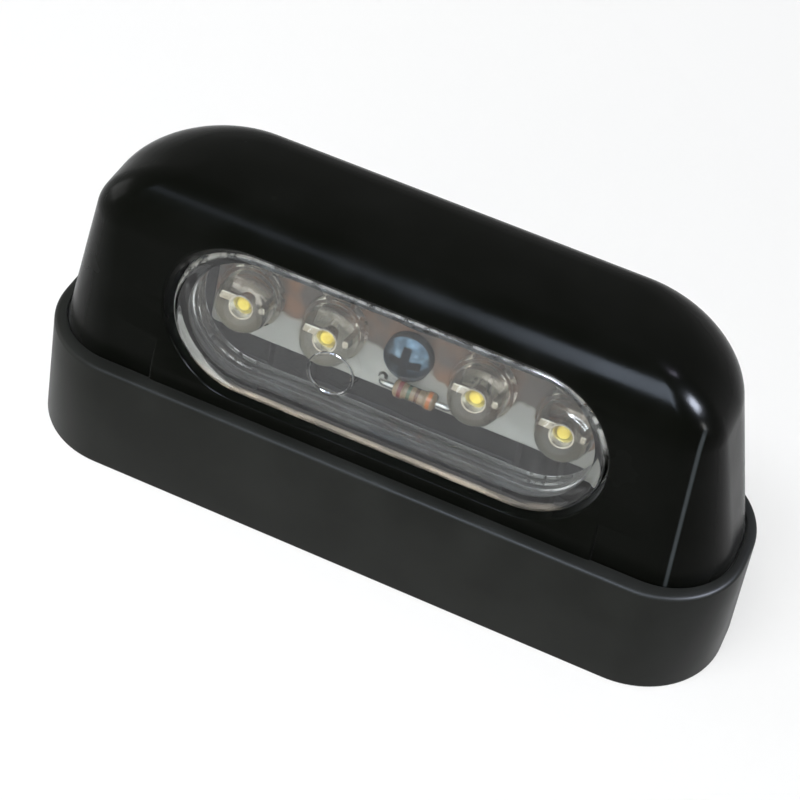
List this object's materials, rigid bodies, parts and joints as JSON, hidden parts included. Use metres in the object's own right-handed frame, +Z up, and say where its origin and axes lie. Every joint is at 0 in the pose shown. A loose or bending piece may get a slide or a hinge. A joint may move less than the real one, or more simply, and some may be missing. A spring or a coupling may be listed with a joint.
{
  "type": "number_plate_lamp",
  "caption": "Surface-mounted number plate lamp: black tapered cover on a moulded base, oblong clear leaning lens and a row of clear round LEDs on a small board",
  "frame": {"origin": "the middle of the underside of the base, on the mounting face", "axes": "+X along the length, to the right seen from the lens side; +Y towards the back, away from the lens; +Z up from the mounting face to the top of the cover"},
  "size_m": [0.065, 0.0184, 0.031],
  "materials": {
    "base_plastic": "satin black, fine moulded grain",
    "cover_plastic": "glossy black moulding",
    "lens_clear": "clear moulded acrylic",
    "led_epoxy": "clear cast epoxy",
    "led_chip": "yellow phosphor",
    "seal_silicone": "translucent grey",
    "board_fr4": "lacquered board",
    "screw_zinc": "blue zinc plated",
    "tinned": "bright tinned",
    "resistor_lacquer": "glossy beige lacquer with colour rings",
    "diode_epoxy": "satin black",
    "plate_plastic": "matt black",
    "insert_brass": "turned",
    "grommet_rubber": "matt black"
  },
  "bodies": {
    "root": {"base_seat": "base_plastic", "cover": "cover_plastic", "lens": "lens_clear", "lens_seal": "seal_silicone", "circuit_board": "board_fr4", "board_screw": "screw_zinc", "led_body_1": "led_epoxy", "led_body_2": "led_epoxy", "led_body_3": "led_epoxy", "led_body_4": "led_epoxy", "led_leads_1": "tinned", "led_leads_2": "tinned", "led_leads_3": "tinned", "led_leads_4": "tinned", "led_chip_1": "led_chip", "led_chip_2": "led_chip", "led_chip_3": "led_chip", "led_chip_4": "led_chip", "resistor_body": "resistor_lacquer", "resistor_leads": "tinned", "diode_body": "diode_epoxy", "diode_leads": "tinned", "solder_joints": "tinned", "wire_terminals": "tinned", "back_plate": "plate_plastic", "back_plate_seal": "seal_silicone", "plate_screws": "screw_zinc", "threaded_inserts": "insert_brass", "cable_grommet": "grommet_rubber"}
  },
  "joints": []
}
